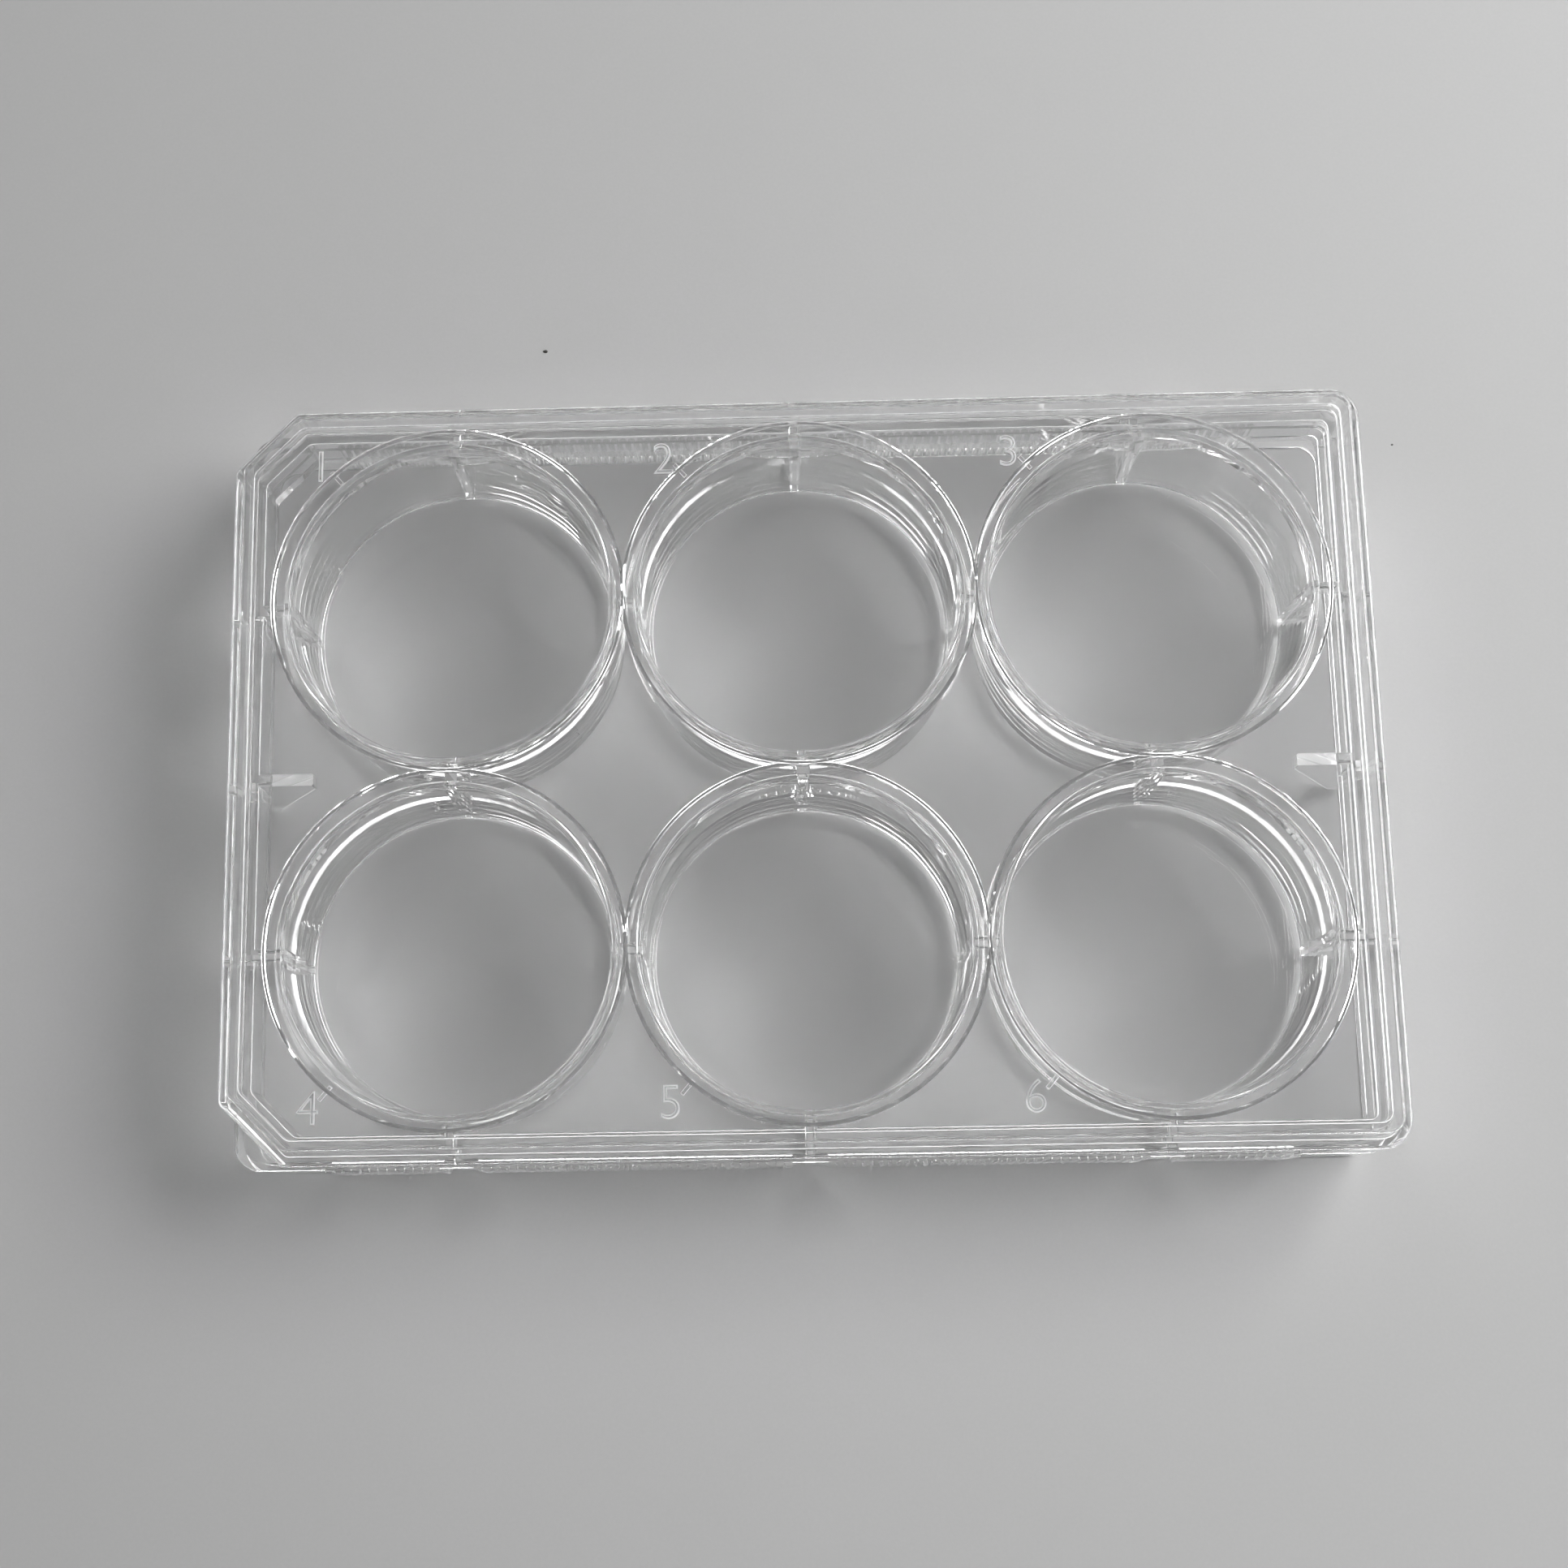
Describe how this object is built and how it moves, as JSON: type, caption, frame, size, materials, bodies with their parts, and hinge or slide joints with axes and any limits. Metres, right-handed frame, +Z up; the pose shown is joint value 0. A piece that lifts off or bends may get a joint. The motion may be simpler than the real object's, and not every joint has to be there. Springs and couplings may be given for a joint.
{
  "type": "multiwell culture plate with lid",
  "caption": "Clear moulded culture plate with a grid of flat-bottomed round wells, a stepped skirt with grip flutes and a loose-fitting lid with vapour rings.",
  "frame": {"origin": "middle of the footprint, on the surface the plate stands on", "axes": "+X along the length, towards the end with rounded lid corners; +Y along the width, towards the row of wells 1 to 3; +Z up, out of the wells"},
  "size_m": [0.1278, 0.086, 0.0212],
  "materials": {
    "clear_polystyrene": "polished, clear",
    "lid_polystyrene": "polished, clear"
  },
  "bodies": {
    "root": {"base": "clear_polystyrene", "lid": "lid_polystyrene"}
  },
  "joints": []
}
